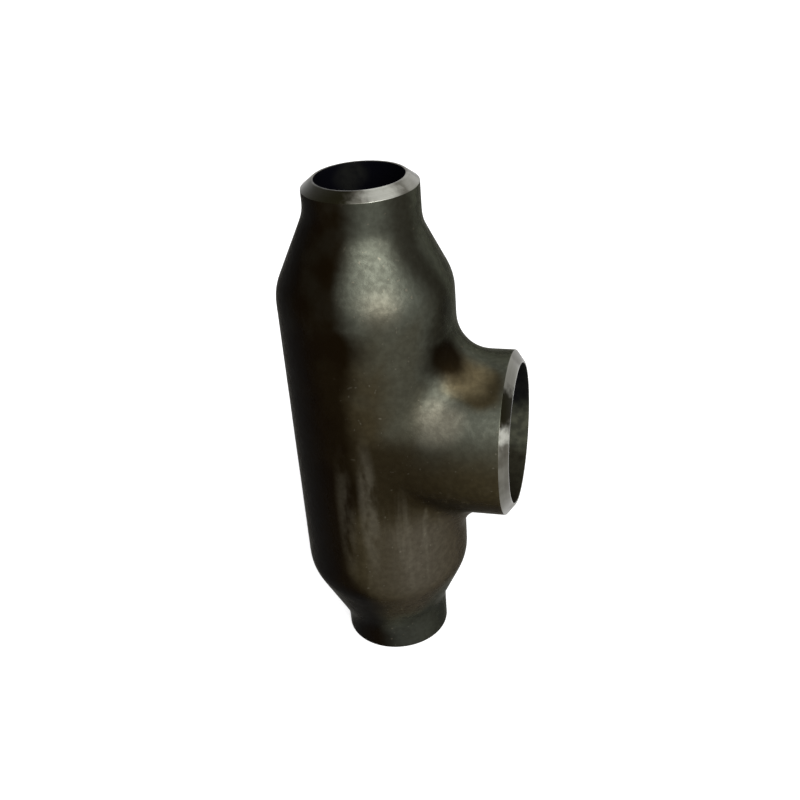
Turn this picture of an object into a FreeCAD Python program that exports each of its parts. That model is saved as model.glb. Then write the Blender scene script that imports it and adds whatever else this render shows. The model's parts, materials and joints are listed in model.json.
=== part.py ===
import FreeCAD, Part
import math
import os

# Reducing tee for butt welding, in millimetres.
# One forged piece: a fat upright body whose two ends are drawn down to smaller necks, with a larger branch
# that leaves the middle of the body along +X. It is hollow right through all three ends.
# The origin is where the run axis (Z, through both necks) meets the branch axis (X).

# Necks: the two small ends of the run, above and below.
neck_od = 76.1
neck_wall = 8.8
neck_length = 26.0
neck_hollow_radius = 29.0

# Cones between the body and the necks.
cone_height = 45.5
shoulder_radius = 34.0

# Body: its radius and its wall are each a little more than the branch's. Outside, the body and its cones
# are set back from the run axis, away from the branch, so the wall is thickest at the back.
body_half_height = 109.5
body_over_branch = 2.35
body_wall_extra = 0.7
body_set_back = 2.8

# Branch: the large side end.
branch_od = 114.3
branch_wall = 8.8
branch_centre_to_end = 98.0

# Roundings all round the branch's root, outside and inside.
crotch_radius = 27.0
inner_crotch_radius = 3.0

# Weld preparation on all three ends: a flat root face, then a bevel measured from the plane of the end.
root_face = 1.6
bevel_angle = 37.5

# Sizes that follow from those above.
neck_radius = neck_od / 2
branch_radius = branch_od / 2
body_radius = branch_radius + body_over_branch
body_wall = branch_wall + body_wall_extra
cone_top = body_half_height + cone_height
run_centre_to_end = cone_top + neck_length
cone_slope = (body_radius - neck_radius) / cone_height
bevel_slope = math.tan(math.radians(bevel_angle))
branch_bevel_depth = (branch_wall - root_face) * bevel_slope

# An arc of radius r between an upright wall and the cone takes up r * corner_share of each.
corner_share = math.tan(math.atan(cone_slope) / 2)

# The outer rounding takes up most of the room between the body and the branch's bevel, and between the
# branch and the shoulder, at the most.
room_share = 0.9
room_along_branch = branch_centre_to_end - branch_bevel_depth - (body_radius - body_set_back)
room_along_body = body_half_height - shoulder_radius * corner_share - branch_radius
crotch_rounding = min(crotch_radius, room_share * room_along_branch, room_share * room_along_body)

origin = FreeCAD.Vector(0, 0, 0)
upward = FreeCAD.Vector(0, 0, 1)
downward = FreeCAD.Vector(0, 0, -1)
outward = FreeCAD.Vector(1, 0, 0)
closeness = 1e-6


def rounded_outline(corners):
    """Closed wire in the XZ plane through corners (x, z, rounding), with an arc wherever rounding isn't zero."""
    places = [FreeCAD.Vector(x, 0, z) for x, z, rounding in corners]
    starts = []
    ends = []
    edges = []
    for index, corner in enumerate(corners):
        rounding = corner[2]
        place = places[index]
        before = (places[index - 1] - place).normalize()
        after = (places[(index + 1) % len(places)] - place).normalize()
        half_angle = before.getAngle(after) / 2
        reach = rounding / math.tan(half_angle)
        start = place + before * reach
        end = place + after * reach
        if rounding:
            middle = place + (before + after).normalize() * (rounding / math.sin(half_angle) - rounding)
            edges.append(Part.Arc(start, middle, end).toShape())
        starts.append(start)
        ends.append(end)
    for index, end in enumerate(ends):
        edges.append(Part.makeLine(end, starts[(index + 1) % len(starts)]))
    return Part.Wire(Part.__sortEdges__(edges))


def turned(upper_corners, axis_x):
    """Solid turned about an upright axis at x = axis_x, and the same below z = 0 as above it."""
    lower_corners = [(x, -z, rounding) for x, z, rounding in reversed(upper_corners)]
    outline = rounded_outline(upper_corners + lower_corners)
    outline.translate(outward * axis_x)
    return Part.Face(outline).revolve(outward * axis_x, upward, 360)


def edges_where(shape, wanted):
    """Edges whose bounding box passes the test, leaving out the seams of round faces."""
    return [edge for edge in shape.Edges if edge.BoundBox.YLength > closeness and wanted(edge.BoundBox)]


def add_branch(tube, radius, rounding):
    """Branch cylinder along +X, blended into the tube all round its root."""
    branch = Part.makeCylinder(radius, branch_centre_to_end, origin, outward)
    joined = tube.fuse(branch).removeSplitter()

    def at_root(box):
        beside = box.XMin > 0 and box.XMax < branch_centre_to_end - closeness
        return beside and max(box.ZMax, -box.ZMin) < radius + closeness

    return joined.makeFillet(rounding, edges_where(joined, at_root))


def outer_form():
    """Fat body with its cones, a straight pipe right through it for the necks, and the branch."""
    buried_radius = neck_radius - 2 * body_set_back
    buried_height = body_half_height + (body_radius - buried_radius) / cone_slope
    body = turned(
        [
            (0, buried_height, 0),
            (buried_radius, buried_height, 0),
            (body_radius, body_half_height, shoulder_radius),
        ],
        -body_set_back,
    )
    pipe = Part.makeCylinder(neck_radius, 2 * run_centre_to_end, downward * run_centre_to_end)
    joined = body.fuse(pipe).removeSplitter()
    shoulder_top = body_half_height + shoulder_radius * corner_share

    def where_cone_meets_neck(box):
        nearest = min(abs(box.ZMin), abs(box.ZMax))
        furthest = max(abs(box.ZMin), abs(box.ZMax))
        return nearest > shoulder_top and furthest < run_centre_to_end - closeness

    necked = joined.makeFillet(neck_hollow_radius, edges_where(joined, where_cone_meets_neck))
    return add_branch(necked, branch_radius, crotch_rounding)


def hollow_form():
    """The passage: bored true to the run axis, with cones that keep an even wall."""
    run = turned(
        [
            (0, run_centre_to_end, 0),
            (neck_radius - neck_wall, run_centre_to_end, 0),
            (neck_radius - neck_wall, cone_top - neck_wall * corner_share, 0),
            (body_radius - body_wall, body_half_height - body_wall * corner_share, 0),
        ],
        0,
    )
    return add_branch(run, branch_radius - branch_wall, inner_crotch_radius)


def bevel_ring(outer_radius, wall, end, way):
    """Ring of metal that the weld bevel takes off an end, out to a root face's width past the surface."""
    inner_edge = outer_radius - wall + root_face
    outer_edge = outer_radius + root_face
    depth = (outer_edge - inner_edge) * bevel_slope
    outline = rounded_outline([
        (inner_edge, end, 0),
        (outer_edge, end, 0),
        (outer_edge, end - depth, 0),
    ])
    ring = Part.Face(outline).revolve(origin, upward, 360)
    ring.Placement = FreeCAD.Placement(origin, FreeCAD.Rotation(upward, way))
    return ring


tee = outer_form().cut([
    hollow_form(),
    bevel_ring(neck_radius, neck_wall, run_centre_to_end, upward),
    bevel_ring(neck_radius, neck_wall, run_centre_to_end, downward),
    bevel_ring(branch_radius, branch_wall, branch_centre_to_end, outward),
])

os.makedirs("parts", exist_ok=True)
tee.Solids[0].exportStep("parts/tee_body.step")
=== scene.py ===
"""Finish of a forged reducing tee for butt welding: its skin, weld ends and passage, and a plain studio."""
import bmesh
import bpy
import json
import math
from bpy.props import FloatProperty, FloatVectorProperty, PointerProperty
from bpy.types import NodeSocket, Operator, Panel, PropertyGroup
from functools import partial, reduce
from mathutils import Matrix, Vector

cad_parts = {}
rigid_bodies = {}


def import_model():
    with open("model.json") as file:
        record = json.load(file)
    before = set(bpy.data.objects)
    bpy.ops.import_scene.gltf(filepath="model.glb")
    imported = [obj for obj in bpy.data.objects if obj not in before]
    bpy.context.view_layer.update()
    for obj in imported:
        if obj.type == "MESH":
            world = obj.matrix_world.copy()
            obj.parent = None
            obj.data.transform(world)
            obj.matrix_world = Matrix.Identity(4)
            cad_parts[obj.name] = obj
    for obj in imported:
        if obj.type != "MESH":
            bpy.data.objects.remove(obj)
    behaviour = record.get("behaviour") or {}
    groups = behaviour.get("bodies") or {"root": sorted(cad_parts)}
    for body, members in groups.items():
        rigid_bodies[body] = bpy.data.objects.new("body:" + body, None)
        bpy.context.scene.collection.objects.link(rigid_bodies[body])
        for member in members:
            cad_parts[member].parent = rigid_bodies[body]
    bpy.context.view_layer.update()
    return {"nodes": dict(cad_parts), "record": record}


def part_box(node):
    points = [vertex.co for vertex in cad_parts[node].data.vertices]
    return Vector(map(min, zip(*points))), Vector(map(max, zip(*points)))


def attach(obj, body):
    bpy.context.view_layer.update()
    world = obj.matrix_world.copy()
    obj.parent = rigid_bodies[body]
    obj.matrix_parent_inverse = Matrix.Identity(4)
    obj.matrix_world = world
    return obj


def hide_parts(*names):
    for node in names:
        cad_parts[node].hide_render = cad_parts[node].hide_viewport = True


bl_info = {
    "name": "Reducing Tee",
    "version": (1, 0, 0),
    "blender": (4, 5, 0),
    "location": "3D View > Sidebar > Reducing Tee",
    "description": "Forged skin, ground weld ends and dark passage of a reducing tee, and a plain studio",
    "category": "Object",
}

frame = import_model()

UP = Vector((0, 0, 1))
OUT = Vector((1, 0, 0))
LOWEST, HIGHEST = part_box("tee_body")
BORES = {
    mount["name"]: mount["dims"]["r_mm"] / 1000
    for mount in frame["record"]["mounts"]
    if "r_mm" in mount["dims"]
}

# Points closer together than the first are one point, and heights closer than the second are the same.
SAME_POINT = 1e-6
SAME_HEIGHT = 1e-5

# A ground face looks out along the axis of its end by more than this share.
GROUND_LEAN = 0.2

# How far outside the bore's radius the middle of a face of the bore may lie.
BORE_ALLOWANCE = 0.0004

# How far below the start of the bevel an open rim may lie and still belong to its end.
RIM_ALLOWANCE = 0.003

# An edge runs along a rim if its two points differ in radius by less than this share of the root face.
RIM_SHARE = 0.25

# A shell is this much longer at each end while it is rebuilt.
SPARE_LENGTH = 0.012

# Rounds of smoothing that a rebuilt shell is given.
SKIN_ROUNDS = 10
PASSAGE_ROUNDS = 6

# Faces that meet at a greater angle than this keep a crisp edge.
CRISP_ANGLE = math.radians(35)

WHITE = (1, 1, 1)


def length(name, description, default):
    """Setting for a length in metres."""
    return FloatProperty(
        name=name,
        description=description,
        default=default,
        min=0,
        precision=5,
        unit="LENGTH",
        subtype="DISTANCE",
    )


def angle(name, description, degrees):
    """Setting for an angle, given in degrees."""
    return FloatProperty(name=name, description=description, default=math.radians(degrees), subtype="ANGLE")


def strength(name, description, default):
    """Setting for the strength of a light."""
    return FloatProperty(name=name, description=description, default=default, min=0)


def colour(name, description, default):
    """Setting for a colour."""
    return FloatVectorProperty(
        name=name,
        description=description,
        default=default,
        size=3,
        min=0,
        max=1,
        precision=4,
        subtype="COLOR",
    )


class ForgingSettings(PropertyGroup):
    """Sizes of the tee's ends and of the unevenness of its skin."""

    wall: length("Wall", "Thickness of the wall at all three ends", 0.0088)
    root_face: length("Root face", "Width of the flat ring inside each weld bevel", 0.0016)
    bevel_angle: angle("Bevel angle", "Slope of the weld bevels, measured from the plane of the end", 37.5)
    mouth: length("Mouth", "Depth of each bore's first, straight ring", 0.003)
    edge_wear: length("Edge wear", "Rounding of the edges that grinding leaves", 0.0003)
    skin_grid: length("Skin grid", "Spacing of the points on the outer skin", 0.0017)
    passage_grid: length("Passage grid", "Spacing of the points on the inner wall", 0.0026)
    swell_size: length("Swell size", "Width of the broad unevenness that the dies leave", 0.035)
    swell_depth: length("Swell depth", "Depth of the broad unevenness that the dies leave", 0.00025)
    pit_size: length("Pit size", "Width of the small dents in the scaled skin", 0.006)
    pit_depth: length("Pit depth", "Depth of the small dents in the scaled skin", 0.00006)


class FinishSettings(PropertyGroup):
    """Colours of the tee's finishes."""

    thin_scale: colour("Thin scale", "Green-grey of thin scale at the ends and branch", (0.056, 0.059, 0.046))
    brown_scale: colour("Brown scale", "Brown of the scale on the walls of the body", (0.031, 0.025, 0.013))
    worn_scale: colour("Worn scale", "Pale grey-brown of worn scale, low on the body", (0.060, 0.052, 0.038))
    # Also painted shade: on the flank away from the light, beside the shoulder's highlight and in the crotch.
    thick_scale_and_shade: colour("Thick scale", "Brown-black of thick scale, mostly in front", (0.0045, 0.0025, 0.0006))
    sheen: colour("Sheen", "Warm tint of the scale's gloss at low angles", (0.3, 0.29, 0.26))
    # Also painted highlights at the branch's root and on the shoulder.
    chalk_and_highlight: colour("Chalk", "Pale smears, rubbed places and specks", (0.11, 0.10, 0.075))
    rust: colour("Rust", "Old rust on the branch", (0.13, 0.105, 0.058))
    # Also painted highlights on the weld bevels.
    steel: colour("Ground steel", "Bare metal of the weld bevels, where it is clean", (0.42, 0.42, 0.375))
    dull_steel: colour("Dull steel", "Bare metal of the weld bevels, where it has dulled", (0.065, 0.06, 0.047))
    stain: colour("Stain", "Dark film on parts of the bevels", (0.007, 0.006, 0.0015))
    passage: colour("Passage", "Scale of the inner wall", (0.050, 0.051, 0.036))
    # Mostly painted shade: round the foot and in the passage's necks and roof.
    soot_and_shade: colour("Soot", "Black film in the passage and round the foot", (0.0015, 0.0015, 0.0025))


class StudioSettings(PropertyGroup):
    """Floor, lights and camera."""

    floor_width: length("Floor width", "Width of the square floor", 30)
    floor_colour: colour("Floor", "Colour of the pale floor", (0.8, 0.8, 0.8))
    floor_lift: strength("Floor lift", "Glow that makes the floor look white to the camera and in gloss", 0.6)
    sky: strength("Sky", "Strength of the even light from all round", 0.15)
    key_strength: strength("Key light", "Strength of the soft light to the right of the camera", 3.4)
    fill_strength: strength("Fill light", "Strength of the weaker light above the camera", 1.5)
    rim_strength: strength("Rim light", "Strength of the weak light behind the branch", 0.4)
    view_azimuth: angle("View azimuth", "Turn of the camera from the front towards the branch", 16.04)
    view_elevation: angle("View elevation", "Height of the camera above the level of the branch", 29.58)
    view_roll: angle("View roll", "Tilt of the camera about its line of sight", -4.59)
    view_distance: length("View distance", "Distance of the camera from the plane through the origin", 0.7486)
    view_right: length("View right", "How far right of the origin the camera's line of sight passes", 0.01297)
    view_above: length("View above", "How far above the origin the camera's line of sight passes", 0.0166)
    focal_length: FloatProperty(
        name="Focal length", description="Focal length on a 36 mm sensor", default=47.56, min=1, unit="CAMERA"
    )


def direction_at(azimuth, elevation):
    """Direction from the tee at an azimuth, from the front towards the branch, and a height above the level."""
    return Vector((
        math.sin(azimuth) * math.cos(elevation),
        -math.cos(azimuth) * math.cos(elevation),
        math.sin(elevation),
    ))


class End:
    """One open end of the tee: its axis, the plane that it ends in and the radii of its rings."""

    def __init__(self, axis, reach, bore, settings):
        self.axis = axis
        self.reach = reach
        self.bore = bore
        self.root_face = settings.root_face
        self.outside = bore + settings.wall
        self.root = bore + settings.root_face
        self.bevel_depth = (self.outside - self.root) * math.tan(settings.bevel_angle)
        self.bevel_start = reach - self.bevel_depth

    def height(self, point):
        return point.dot(self.axis)

    def radius(self, point):
        return (point - self.axis * self.height(point)).length

    def is_ground(self, face):
        """Whether the face is part of the weld bevel or the root face."""
        middle = face.calc_center_median()
        return self.height(middle) > self.bevel_start and self.height(face.normal) > GROUND_LEAN

    def is_mouth(self, face):
        """Whether the face is part of the bore, near its mouth."""
        middle = face.calc_center_median()
        return self.height(middle) > self.bevel_start and self.radius(middle) < self.bore + BORE_ALLOWANCE


def tee_ends(settings):
    """The two necks and the branch."""
    return (
        End(UP, HIGHEST.z, BORES["run_bore"], settings),
        End(-UP, -LOWEST.z, BORES["run_bore"], settings),
        End(OUT, HIGHEST.x, BORES["branch_bore"], settings),
    )


def activate(*pieces):
    """Selects only these pieces, the first as the active one."""
    bpy.ops.object.select_all(action="DESELECT")
    for piece in pieces:
        piece.select_set(True)
    bpy.context.view_layer.objects.active = pieces[0]


def edit(piece, parts):
    """Opens the piece in edit mode with nothing selected. Parts is VERT, EDGE or FACE."""
    activate(piece)
    bpy.ops.object.mode_set(mode="EDIT")
    bpy.ops.mesh.select_mode(type=parts)
    bpy.ops.mesh.select_all(action="DESELECT")


def leave_edit():
    bpy.ops.object.mode_set(mode="OBJECT")


def pick(piece, parts, wanted):
    """Selects, in edit mode, the verts, edges or faces that pass the test."""
    bpy.ops.mesh.select_all(action="DESELECT")
    mesh = bmesh.from_edit_mesh(piece.data)
    found = [part for part in getattr(mesh, parts) if wanted(part)]
    if not found:
        raise RuntimeError(f"{piece.name} has no {parts} to pick here")
    for part in found:
        part.select_set(True)
    bmesh.update_edit_mesh(piece.data)


def pick_rims(piece, end):
    """Selects the open rims at one end of a shell."""

    def at_end(edge):
        middle = (edge.verts[0].co + edge.verts[1].co) / 2
        return edge.is_boundary and end.height(middle) > end.bevel_start - RIM_ALLOWANCE

    pick(piece, "edges", at_end)


def apply_modifier(piece, kind, **settings):
    """Adds a modifier, sets it and applies it."""
    activate(piece)
    modifier = piece.modifiers.new(kind.title(), kind)
    for name, value in settings.items():
        setattr(modifier, name, value)
    bpy.ops.object.modifier_apply(modifier=modifier.name)


def two_shells(ends):
    """Outer and inner shell of the tee, copied from its solid body, with the ground ends taken away."""
    outer = bpy.data.objects.new("forging", frame["nodes"]["tee_body"].data.copy())
    bpy.context.scene.collection.objects.link(outer)
    outer.data.materials.clear()
    edit(outer, "VERT")
    bpy.ops.mesh.select_all(action="SELECT")
    bpy.ops.mesh.remove_doubles(threshold=SAME_POINT)
    bpy.ops.mesh.select_mode(type="FACE")
    pick(outer, "faces", lambda face: any(end.is_ground(face) for end in ends))
    bpy.ops.mesh.delete(type="FACE")

    # Only the bore still reaches the plane of an end, so all that hangs on its points there is the inner shell.
    bpy.ops.mesh.select_mode(type="VERT")
    pick(outer, "verts", lambda vert: ends[0].height(vert.co) > ends[0].reach - SAME_HEIGHT)
    bpy.ops.mesh.select_linked()
    bpy.ops.mesh.separate(type="SELECTED")
    leave_edit()
    inner = next(piece for piece in bpy.context.selected_objects if piece != outer)
    inner.name = "passage"
    return outer, inner


def even_out(shell, ends, grid, rounds):
    """Rebuilds an open shell as an even, smooth grid. It is made longer first, and trim cuts it back."""
    edit(shell, "EDGE")
    for end in ends:
        pick_rims(shell, end)
        bpy.ops.mesh.extrude_edges_move(TRANSFORM_OT_translate={"value": end.axis * SPARE_LENGTH})
        bpy.ops.mesh.edge_face_add()
    leave_edit()
    apply_modifier(shell, "REMESH", mode="VOXEL", voxel_size=grid, use_smooth_shade=True)
    apply_modifier(shell, "SMOOTH", factor=0.5, iterations=rounds)


def roughen(shell, name, size, depth):
    """Pushes the skin inwards here and there, by up to the depth. Size is the width of the dents."""
    texture = bpy.data.textures.new(name, "CLOUDS")
    texture.noise_scale = size
    texture.noise_depth = 2
    apply_modifier(shell, "DISPLACE", texture=texture, texture_coords="LOCAL", mid_level=1.0, strength=depth)


def trim(shell, heights):
    """Cuts the shell off square at each end. Heights pairs each end with the height of its cut."""
    edit(shell, "VERT")
    for end, height in heights:
        bpy.ops.mesh.select_all(action="SELECT")
        bpy.ops.mesh.bisect(plane_co=end.axis * height, plane_no=end.axis, clear_outer=True)
    leave_edit()


def draw_rim(end, rise, share):
    """Extrudes the picked rim along the axis by the rise and brings its radius to a share of what it was."""
    bpy.ops.mesh.extrude_edges_move(TRANSFORM_OT_translate={"value": end.axis * rise})
    factors = Vector([1 if component else share for component in end.axis])
    bpy.ops.transform.resize(value=factors, center_override=(0, 0, 0))


def grind_ends(shell, ends, collar, mouth):
    """Draws each rim of the outer shell up a collar, in over bevel and root face, and down into the bore."""
    edit(shell, "EDGE")
    for end in ends:
        pick_rims(shell, end)
        draw_rim(end, collar, 1)
        draw_rim(end, end.bevel_depth, end.root / end.outside)
        draw_rim(end, 0, end.bore / end.root)
        draw_rim(end, -mouth, 1)
    leave_edit()


def soften_edges(forging, ends, width):
    """Rounds the edges that grinding leaves: both rims of each bevel, and the rim of each bore."""

    def is_ground_rim(edge):
        for end in ends:
            low, high = sorted(end.height(vert.co) for vert in edge.verts)
            narrow, wide = sorted(end.radius(vert.co) for vert in edge.verts)
            at_rim = min(abs(low - end.bevel_start), abs(low - end.reach)) < SAME_HEIGHT
            if at_rim and high - low < SAME_HEIGHT and wide - narrow < end.root_face * RIM_SHARE:
                return True
        return False

    edit(forging, "EDGE")
    pick(forging, "edges", is_ground_rim)
    bpy.ops.mesh.bevel(offset=width, segments=2, affect="EDGES", clamp_overlap=False)
    leave_edit()


def join_shells(outer, inner, ends):
    """Joins the two shells into one closed forging, and gives each face its finish."""
    activate(outer, inner)
    bpy.ops.object.join()
    edit(outer, "EDGE")
    for end in ends:
        pick_rims(outer, end)
        bpy.ops.mesh.bridge_edge_loops()
    bpy.ops.mesh.select_all(action="SELECT")
    bpy.ops.mesh.normals_make_consistent(inside=False)
    bpy.ops.mesh.select_mode(type="FACE")
    for slot, belongs in enumerate((End.is_ground, End.is_mouth), start=1):
        pick(outer, "faces", lambda face: any(belongs(end, face) for end in ends))
        outer.active_material_index = slot
        bpy.ops.object.material_slot_assign()
    leave_edit()


class TEE_OT_forging(Operator):
    """Model the tee as one forging, with a scaled skin, ground weld ends and a dark passage"""

    bl_idname = "tee.forging"
    bl_label = "Forging"

    def execute(self, context):
        settings = context.scene.tee_forging
        colours = context.scene.tee_finish
        ends = tee_ends(settings)
        collar = 2 * settings.edge_wear
        forging, passage = two_shells(ends)

        even_out(forging, ends, settings.skin_grid, SKIN_ROUNDS)
        roughen(forging, "die_swell", settings.swell_size, settings.swell_depth)
        roughen(forging, "scale_pits", settings.pit_size, settings.pit_depth)
        trim(forging, [(end, end.bevel_start - collar) for end in ends])
        grind_ends(forging, ends, collar, settings.mouth)

        even_out(passage, ends, settings.passage_grid, PASSAGE_ROUNDS)
        trim(passage, [(end, end.reach - 2 * settings.mouth) for end in ends])

        forging.data.materials.append(mill_scale(colours))
        forging.data.materials.append(ground_steel(colours))
        passage.data.materials.clear()
        passage.data.materials.append(passage_scale(colours))
        join_shells(forging, passage, ends)
        soften_edges(forging, ends, settings.edge_wear)
        activate(forging)
        bpy.ops.object.shade_smooth_by_angle(angle=CRISP_ANGLE)
        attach(forging, "root")
        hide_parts("tee_body")
        return {"FINISHED"}


class Nodes:
    """A tree of nodes under construction, with short ways to add to it."""

    def __init__(self, tree):
        self.tree = tree

    def feed(self, socket, value):
        """Links the socket to another node's output, or sets it to a value. A colour has three parts."""
        if isinstance(value, NodeSocket):
            self.tree.links.new(value, socket)
        elif socket.type == "RGBA":
            socket.default_value = (*value, 1)
        else:
            socket.default_value = value

    def node(self, kind, inputs, output=0, **settings):
        """Adds a node, sets it, feeds its inputs and gives its output."""
        made = self.tree.nodes.new(kind)
        for name, value in settings.items():
            setattr(made, name, value)
        for name, value in inputs.items():
            self.feed(made.inputs[name], value)
        return made.outputs[output]

    def math(self, operation, first, second=0.0):
        """One step of arithmetic on two values, or on the first alone."""
        return self.node("ShaderNodeMath", {0: first, 1: second}, operation=operation)

    def all_of(self, *values):
        """Product of several shares."""
        return reduce(partial(self.math, "MULTIPLY"), values)

    def any_of(self, *values):
        """Largest of several shares."""
        return reduce(partial(self.math, "MAXIMUM"), values)

    def ramp(self, value, low, high):
        """0 at low, 1 at high, and a smooth rise or fall between them."""
        if low > high:
            return self.math("SUBTRACT", 1.0, self.ramp(value, high, low))
        return self.node(
            "ShaderNodeMapRange",
            {"Value": value, "From Min": low, "From Max": high},
            interpolation_type="SMOOTHSTEP",
        )

    def spread(self, value, low, high):
        """The value's range from 0 to 1 spread from low to high."""
        return self.node("ShaderNodeMapRange", {"Value": value, "To Min": low, "To Max": high})

    def mix(self, share, first, second):
        """Mix of two colours, each a plain colour or a socket."""
        made = self.tree.nodes.new("ShaderNodeMix")
        made.data_type = "RGBA"
        inputs = {socket.identifier: socket for socket in made.inputs}
        self.feed(inputs["Factor_Float"], share)
        self.feed(inputs["A_Color"], first)
        self.feed(inputs["B_Color"], second)
        return next(socket for socket in made.outputs if socket.identifier == "Result_Color")

    def seen_rays(self):
        """1 for rays from the camera and for those that gloss and glass send on, 0 for the others."""
        rays = self.tree.nodes.new("ShaderNodeLightPath").outputs
        return self.any_of(rays["Is Camera Ray"], rays["Is Glossy Ray"], rays["Is Transmission Ray"])


class Finish(Nodes):
    """One material under construction, drawn by the place on the object."""

    def __init__(self, name):
        self.material = bpy.data.materials.new(name)
        self.material.use_nodes = True
        super().__init__(self.material.node_tree)
        self.place = self.node("ShaderNodeTexCoord", {}, "Object")

    def noise(self, waves, detail=3.0, squeeze=(1, 1, 1), shift=(0, 0, 0), output="Fac"):
        """Noise of so many waves to the metre, of places squeezed along each axis to a share and shifted."""
        place = self.node("ShaderNodeMapping", {"Vector": self.place, "Scale": squeeze, "Location": shift})
        return self.node("ShaderNodeTexNoise", {"Vector": place, "Scale": waves, "Detail": detail}, output)

    def ragged(self, reach, waves):
        """Places shifted at random by up to the reach, so that what is drawn by them has a ragged edge."""
        cloud = self.noise(waves, detail=4.0, output="Color")
        centred = self.node("ShaderNodeVectorMath", {0: cloud, 1: (0.5, 0.5, 0.5)}, operation="SUBTRACT")
        shift = self.node("ShaderNodeVectorMath", {0: centred, "Scale": 2 * reach}, operation="SCALE")
        return self.node("ShaderNodeVectorMath", {0: self.place, 1: shift}, operation="ADD")

    def split(self, place):
        """How far a place lies along the branch, across it and up the run."""
        parts = self.tree.nodes.new("ShaderNodeSeparateXYZ")
        self.feed(parts.inputs[0], place)
        return tuple(parts.outputs)

    def zone(self, place, bounds, share=1.0):
        """The share in a zone, 0 outside it. A bound is an axis, where the zone starts and where it is full."""
        parts = self.split(place)
        return self.all_of(*[self.ramp(parts[axis], start, full) for axis, start, full in bounds], share)

    def patch(self, place, middle, inner, outer, share=1.0):
        """The share within the inner distance of the middle of a round patch, 0 beyond the outer one."""
        distance = self.node("ShaderNodeVectorMath", {0: place, 1: middle}, "Value", operation="DISTANCE")
        return self.all_of(self.ramp(distance, outer, inner), share)

    def patches(self, place, rows):
        """Largest share of several patches."""
        return self.any_of(*[self.patch(place, *row) for row in rows])

    def bump(self, height, depth, **under):
        """Bump of a depth in metres. Normal names another bump that it lies on."""
        return self.node("ShaderNodeBump", {"Height": height, "Distance": depth, "Strength": 1.0, **under})

    def shade(self, **sockets):
        """Sets the shader's sockets, by name with underscores for spaces, and gives the material."""
        shader = self.tree.nodes["Principled BSDF"]
        for name, value in sockets.items():
            self.feed(shader.inputs[name.replace("_", " ")], value)
        return self.material


# Axes of a place on the tee, in metres from its origin: along the branch, across it and up the run.
ALONG, ACROSS, HEIGHT = range(3)

# How far the tones drift up and down the front, and how many times as far at the back.
DRIFT = 0.06
BACK_DRIFT = 2.5

# Where each of these sets in and where it is full. Across the branch: the back. Along it: the branch's side.
# Up the run: the thin scale of the upper and the lower end, and the painted shade round the foot.
BACK = (-0.03, 0.03)
BRANCH_SIDE = (-0.02, 0.03)
UPPER_THIN = (0.05, 0.115)
LOWER_THIN = (-0.11, -0.16)
FOOT_SHADE = (-0.135, -0.17)

# Zones of the skin: thin scale on top of the branch and above its root, worn scale low on the branch's side,
# painted shade beside the shoulder, thick scale in a belt round the front, and the streaked front below it.
BRANCH_THIN = ((ALONG, 0.025, 0.05), (HEIGHT, -0.006, 0.032))
ROOT_THIN = ((ALONG, 0.01, 0.028), (HEIGHT, 0.005, 0.03))
WORN = ((HEIGHT, -0.03, -0.065), (ALONG, -0.012, 0.04))
SHOULDER_SHADE = ((ACROSS, -0.038, -0.024), (ACROSS, -0.005, -0.02), (ALONG, 0.005, 0.025), (HEIGHT, 0.06, 0.085))
BELT = ((HEIGHT, 0.032, 0.01), (HEIGHT, -0.055, -0.025), (ALONG, 0.1, 0.03), (ACROSS, 0.0, -0.03))
STREAKED = ((HEIGHT, 0.0, -0.05), (HEIGHT, -0.12, -0.09), (ACROSS, 0.0, -0.03), (ALONG, -0.015, 0.015))

# Painted shade on the flank away from the branch and the light, drawn as thick scale: where it sets in along
# the branch and across it, and the zones in which that edge lies further from the branch by so much, or nearer
# where the shift is negative.
FLANK_EDGE = (0.0105, -0.0105)
FLANK_BACK = (0.025, -0.01)
FLANK_SHIFTS = (
    (((HEIGHT, -0.02, -0.08), (HEIGHT, -0.11, -0.085)), 0.014),
    (((HEIGHT, 0.104, 0.094), (HEIGHT, 0.068, 0.088)), -0.009),
    (((HEIGHT, 0.13, 0.165),), -0.0045),
)

# Round patches of the skin: painted highlights drawn as pale rubbed scale, brown, rusty, and painted shade
# drawn as thick scale. Each is its middle, the distance within which it is full, the distance at which it ends
# and its share.
# Painted highlights at the branch's root and at the foot of the shoulder's highlight, drawn as pale rubbed
# scale.
PAINTED_HIGHLIGHTS = (
    ((0.054, -0.048, 0.0318), 0.006, 0.023, 0.58),
    ((0.0195, -0.0495, 0.113), 0.004, 0.019, 0.3),
)
BROWNED = ((0.078, -0.028, 0.049), 0.008, 0.022)
RUSTY = ((0.067, -0.0215, 0.056), 0.004, 0.0215)
# Painted shade in the crotch and on the branch's root beside it, drawn as thick scale.
CROTCH_SHADE = (
    ((0.052, -0.0215, 0.066), 0.008, 0.026, 0.97),
    ((0.0485, -0.035, 0.0515), 0.006, 0.014, 0.3),
)

# Patches drawn out into upright columns, because heights are squeezed to a share, those of their middles too.
COLUMN_SQUEEZE = (1, 1, 0.13)
COLUMNS = (
    ((0.004, -0.059, -0.0045), 0.003, 0.009, 0.36),
    ((-0.013, -0.057, -0.0055), 0.003, 0.009, 0.17),
)

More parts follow.
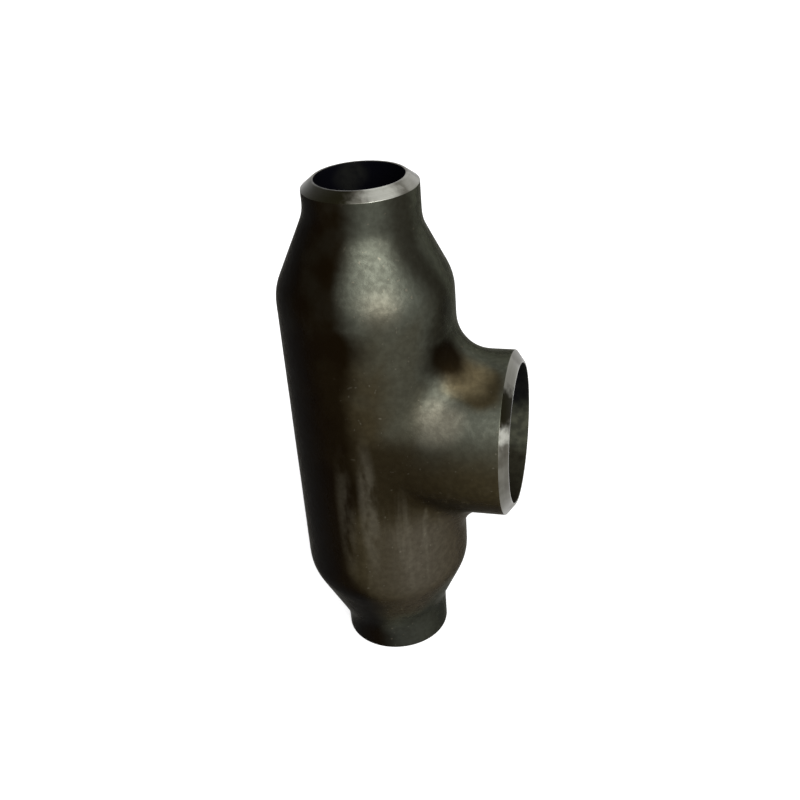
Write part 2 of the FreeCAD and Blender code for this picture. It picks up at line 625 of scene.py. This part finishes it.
# Patches of the weld bevels: painted highlights drawn as clean steel, and dark stains.
BEVEL_HIGHLIGHTS = (
    ((0.021, -0.0265, 0.178), 0.003, 0.018, 1.0),
    ((0.036, -0.002, 0.177), 0.006, 0.018, 0.35),
    ((0.096, -0.046, 0.026), 0.002, 0.01, 0.9),
    ((0.095, -0.012, 0.054), 0.012, 0.026, 0.3),
    ((0.095, -0.045, -0.032), 0.006, 0.024, 0.12),
    ((0.095, -0.018, -0.055), 0.01, 0.024, 0.3),
)
STAINED = (
    ((-0.019, -0.03, 0.175), 0.019, 0.03),
    ((0.095, -0.036, 0.0415), 0.0085, 0.018),
)

# In the passage: a painted glint where the painted shade is thinner, the distance from the middle of the run at
# which the necks' painted shade sets in, and the heights for the roof's painted shade and the sole's thick
# scale.
UPPER_BORE_GLINT = ((-0.013, 0.026, 0.172), 0.003, 0.014)
NECK_SHADE = (0.08, 0.12)
ROOF_SHADE = (-0.016, 0.0)
SOLE = (-0.031, -0.039)


def scale_by_place(finish, colours, ragged):
    """Thin scale at the ends and branch, brown walls worn low down, painted shade at the foot and painted
    highlights.
    """
    along, across, height = finish.split(ragged)
    sway = finish.spread(finish.ramp(across, *BACK), 1.0, BACK_DRIFT)
    drift = finish.all_of(finish.spread(finish.noise(waves=16.0, detail=2.0), -DRIFT, DRIFT), sway)
    drifting = finish.math("ADD", height, drift)

    thin = finish.any_of(
        finish.zone(ragged, BRANCH_THIN),
        finish.ramp(drifting, *UPPER_THIN),
        finish.zone(ragged, ROOT_THIN, share=0.55),
    )
    tone = finish.mix(thin, colours.brown_scale, colours.thin_scale)
    tone = finish.mix(finish.zone(ragged, WORN), tone, colours.worn_scale)
    tone = finish.mix(finish.ramp(drifting, *LOWER_THIN), tone, colours.thin_scale)

    # Painted shade round the foot, heavier on the side away from the branch and the light.
    foot_shade = finish.spread(finish.ramp(along, *BRANCH_SIDE), 0.85, 0.45)
    tone = finish.mix(finish.all_of(finish.ramp(drifting, *FOOT_SHADE), foot_shade), tone, colours.soot_and_shade)
    # Painted highlights at the branch's root and on the shoulder.
    tone = finish.mix(finish.patches(ragged, PAINTED_HIGHLIGHTS), tone, colours.chalk_and_highlight)
    tone = finish.mix(finish.patch(ragged, *BROWNED), tone, colours.brown_scale)
    return finish.mix(finish.patch(ragged, *RUSTY), tone, colours.rust)


def painted_shade_and_thick_scale(finish, ragged):
    """Share of painted shade down the front flank, beside the shoulder and in the crotch, and of a scaled belt
    below it.
    """
    parts = finish.split(ragged)
    edge = parts[ALONG]
    for bounds, shift in FLANK_SHIFTS:
        edge = finish.math("ADD", edge, finish.zone(ragged, bounds, share=shift))
    patchy = finish.spread(finish.ramp(finish.noise(waves=45.0), 0.35, 0.65), 0.93, 1.0)
    # The flank, the side of the shoulder and the crotch are painted shade; the belt is thick scale.
    return finish.any_of(
        finish.all_of(finish.ramp(edge, *FLANK_EDGE), finish.ramp(parts[ACROSS], *FLANK_BACK), patchy),
        finish.zone(ragged, SHOULDER_SHADE, share=0.7),
        finish.zone(ragged, BELT, share=0.6),
        finish.patches(ragged, CROTCH_SHADE),
    )


def smears(finish, ragged):
    """Share of chalk: long streaks low on the front, and two narrow rubbed columns up the body."""
    fine = finish.ramp(finish.noise(waves=130.0, squeeze=(1, 1, 0.08)), 0.52, 0.74)
    rubbed = finish.ramp(finish.noise(waves=130.0, detail=4.0, squeeze=(1, 1, 0.35)), 0.3, 0.6)
    squeezed = finish.node("ShaderNodeVectorMath", {0: finish.place, 1: COLUMN_SQUEEZE}, operation="MULTIPLY")
    return finish.any_of(
        finish.all_of(finish.zone(ragged, STREAKED, share=0.3), fine),
        finish.all_of(finish.patches(squeezed, COLUMNS), rubbed),
    )


def mill_scale(colours):
    """Mottled mill scale with thick and worn parts, pale smears and fine specks, and painted shade and
    highlights.
    """
    finish = Finish("mill_scale")
    ragged = finish.ragged(reach=0.01, waves=35.0)
    mottle = finish.ramp(finish.noise(waves=260.0, detail=4.0, shift=(0.3, 0.1, 0.2)), 0.3, 0.72)
    specks = finish.spread(finish.ramp(finish.noise(waves=380.0, detail=0.0), 0.78, 0.84), 0.0, 0.5)
    grain = finish.noise(waves=1000.0, detail=2.0)

    tone = scale_by_place(finish, colours, ragged)
    tone = finish.mix(specks, tone, colours.chalk_and_highlight)
    # Painted shade on the flank, beside the shoulder and in the crotch, in the thick scale's colour.
    tone = finish.mix(painted_shade_and_thick_scale(finish, ragged), tone, colours.thick_scale_and_shade)
    tone = finish.mix(smears(finish, ragged), tone, colours.chalk_and_highlight)
    tone = finish.mix(finish.spread(mottle, 0.25, 0.0), tone, colours.thick_scale_and_shade)
    return finish.shade(
        Base_Color=tone,
        Metallic=0.9,
        Roughness=finish.spread(mottle, 0.48, 0.41),
        Specular_IOR_Level=0.2,
        Specular_Tint=colours.sheen,
        Normal=finish.bump(grain, depth=0.00003, Normal=finish.bump(mottle, depth=0.00005)),
    )


def ground_steel(colours):
    """Ground metal of the weld bevels with fine turned lines, clean in places, painted highlights and two
    stains.
    """
    finish = Finish("ground_steel")
    ragged = finish.ragged(reach=0.007, waves=160.0)
    cloud = finish.ramp(finish.noise(waves=60.0, detail=4.0, shift=(0.1, 0.2, 0.3)), 0.4, 0.72)
    reach = finish.node("ShaderNodeVectorMath", {0: finish.place}, "Value", operation="LENGTH")
    lines = finish.node(
        "ShaderNodeTexNoise", {"W": reach, "Scale": 2500.0, "Detail": 2.0}, noise_dimensions="1D"
    )

    # Clean metal here and there, and painted highlights drawn as clean steel.
    clean = finish.any_of(finish.spread(cloud, 0.0, 0.2), finish.patches(ragged, BEVEL_HIGHLIGHTS))
    tone = finish.mix(clean, colours.dull_steel, colours.steel)
    tone = finish.mix(finish.spread(lines, 0.3, 0.0), tone, colours.stain)
    tone = finish.mix(finish.patches(ragged, STAINED), tone, colours.stain)
    return finish.shade(
        Base_Color=tone,
        Metallic=0.9,
        Roughness=finish.spread(cloud, 0.32, 0.5),
        Specular_IOR_Level=0.3,
        Normal=finish.bump(lines, depth=0.00003),
    )


def passage_scale(colours):
    """Uneven scale of the inner wall, painted shade in necks and roof, a painted glint, and thick scale along
    the sole.
    """
    finish = Finish("passage_scale")
    ragged = finish.ragged(reach=0.008, waves=40.0)
    height = finish.split(ragged)[HEIGHT]
    mottle = finish.ramp(finish.noise(waves=160.0), 0.35, 0.68)
    # A painted glint inside the upper neck, where the painted shade is thinner.
    glint_share = finish.spread(finish.patch(ragged, *UPPER_BORE_GLINT), 1.0, 0.85)
    necks = finish.all_of(finish.ramp(finish.math("ABSOLUTE", height), *NECK_SHADE), glint_share)
    roof = finish.spread(finish.ramp(height, *ROOF_SHADE), 0.0, 0.9)
    sole = finish.spread(finish.ramp(height, *SOLE), 0.0, 0.7)

    tone = finish.mix(finish.spread(mottle, 0.0, 0.45), colours.passage, colours.soot_and_shade)
    tone = finish.mix(sole, tone, colours.thick_scale_and_shade)
    # Painted shade in the necks and the roof of the passage.
    tone = finish.mix(finish.any_of(necks, roof), tone, colours.soot_and_shade)
    return finish.shade(
        Base_Color=tone, Roughness=0.6, Specular_IOR_Level=0.01, Normal=finish.bump(mottle, depth=0.0001)
    )


class TEE_OT_studio(Operator):
    """Set up the pale floor, the soft lights and the camera"""

    bl_idname = "tee.studio"
    bl_label = "Studio"

    def execute(self, context):
        settings = context.scene.tee_studio
        self.lay_floor(context, settings)
        self.spread_sky(context, settings)
        self.hang_lamp(context, "key_light", azimuth=42, elevation=26, width=40, energy=settings.key_strength)
        self.hang_lamp(context, "fill_light", azimuth=12, elevation=38, width=34, energy=settings.fill_strength)
        self.hang_lamp(context, "rim_light", azimuth=165, elevation=35, width=60, energy=settings.rim_strength)
        self.place_camera(context, settings)
        context.scene.view_settings.view_transform = "Standard"
        return {"FINISHED"}

    def lay_floor(self, context, settings):
        """Floor that the tee stands on. It looks white to the camera and in gloss, and keeps the shadow."""
        bpy.ops.object.select_all(action="DESELECT")
        bpy.ops.mesh.primitive_plane_add(size=settings.floor_width, location=(0, 0, LOWEST.z))
        floor = context.active_object
        floor.name = "studio_floor"
        paint = Finish("studio_floor")
        floor.data.materials.append(
            paint.shade(
                Base_Color=settings.floor_colour,
                Roughness=1.0,
                Specular_IOR_Level=0.0,
                Emission_Color=WHITE,
                Emission_Strength=paint.all_of(paint.seen_rays(), settings.floor_lift),
            )
        )

    def spread_sky(self, context, settings):
        """Even light from all round, from a sky that looks white to the camera and in gloss."""
        world = bpy.data.worlds.new("studio_sky")
        context.scene.world = world
        world.use_nodes = True
        sky = Nodes(world.node_tree)
        background = sky.tree.nodes["Background"].inputs
        sky.feed(background["Color"], WHITE)
        sky.feed(background["Strength"], sky.spread(sky.seen_rays(), settings.sky, 1.0))

    def hang_lamp(self, context, name, azimuth, elevation, width, energy):
        """Far, soft light in a direction given in degrees. Width is the angle that it fills from the tee."""
        direction = direction_at(math.radians(azimuth), math.radians(elevation))
        lamp = bpy.data.lights.new(name, "SUN")
        lamp.angle = math.radians(width)
        lamp.energy = energy
        holder = bpy.data.objects.new(name, lamp)
        context.scene.collection.objects.link(holder)
        holder.location = direction
        holder.rotation_euler = direction.to_track_quat("Z", "Y").to_euler()

    def place_camera(self, context, settings):
        """Camera at the measured viewing angle, rolled a little about its line of sight."""
        azimuth, roll = settings.view_azimuth, settings.view_roll
        back = direction_at(azimuth, settings.view_elevation)
        level_right = Vector((math.cos(azimuth), math.sin(azimuth), 0))
        right = level_right * math.cos(roll) + back.cross(level_right) * math.sin(roll)
        above = back.cross(right)
        lens = bpy.data.cameras.new("camera")
        lens.lens = settings.focal_length
        camera = bpy.data.objects.new("camera", lens)
        context.scene.collection.objects.link(camera)
        place = back * settings.view_distance + right * settings.view_right + above * settings.view_above
        turn = Matrix((right, above, back)).transposed().to_4x4()
        camera.matrix_world = Matrix.Translation(place) @ turn
        context.scene.camera = camera


class TEE_PT_panel(Panel):
    """Sidebar panel with the tee's steps and settings"""

    bl_idname = "TEE_PT_panel"
    bl_label = "Reducing Tee"
    bl_space_type = "VIEW_3D"
    bl_region_type = "UI"
    bl_category = "Reducing Tee"

    def draw(self, context):
        scene = context.scene
        for operator, *groups in (
            (TEE_OT_forging, scene.tee_forging, scene.tee_finish),
            (TEE_OT_studio, scene.tee_studio),
        ):
            self.layout.operator(operator.bl_idname)
            for group in groups:
                for name in group.__annotations__:
                    self.layout.prop(group, name)


CLASSES = (ForgingSettings, FinishSettings, StudioSettings, TEE_OT_forging, TEE_OT_studio, TEE_PT_panel)


def register():
    for cls in CLASSES:
        bpy.utils.register_class(cls)
    bpy.types.Scene.tee_forging = PointerProperty(type=ForgingSettings)
    bpy.types.Scene.tee_finish = PointerProperty(type=FinishSettings)
    bpy.types.Scene.tee_studio = PointerProperty(type=StudioSettings)


def unregister():
    del bpy.types.Scene.tee_studio
    del bpy.types.Scene.tee_finish
    del bpy.types.Scene.tee_forging
    for cls in reversed(CLASSES):
        bpy.utils.unregister_class(cls)


def main():
    register()
    bpy.ops.tee.studio()
    bpy.ops.tee.forging()


if __name__ == "__main__":
    main()
